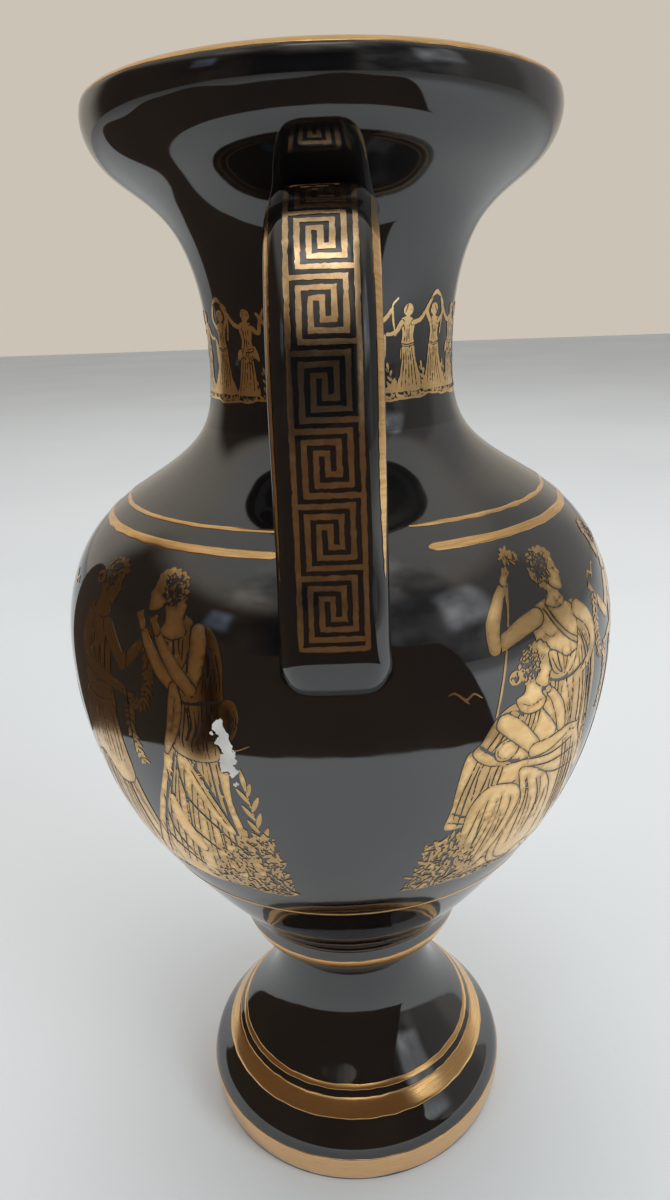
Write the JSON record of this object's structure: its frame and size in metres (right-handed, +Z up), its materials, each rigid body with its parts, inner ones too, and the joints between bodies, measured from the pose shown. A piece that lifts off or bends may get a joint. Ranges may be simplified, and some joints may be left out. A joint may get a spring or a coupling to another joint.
{
  "type": "amphora",
  "caption": "Tall neck amphora with a cup mouth, strap handles from mouth to shoulder, an ovoid body and a bell foot, glazed black with gold lines and painted figure panels.",
  "frame": {"origin": "centre of the foot's resting ring, on the surface that the vase stands on", "axes": "+Z up along the turning axis, +X towards handle_right, -X towards handle_left, the two picture panels face -Y and +Y"},
  "size_m": [0.174, 0.1624, 0.32],
  "materials": {
    "black_glaze": "glossy black fired glaze",
    "gold_lustre": "fired gold lustre, hand brushed, slightly worn",
    "biscuit": "bare white biscuit at the chip and the resting ring"
  },
  "bodies": {
    "root": {"body_shell": "black_glaze", "neck_and_mouth": "black_glaze", "pedestal_foot": "black_glaze", "handle_right": "black_glaze", "handle_left": "black_glaze"}
  },
  "joints": []
}
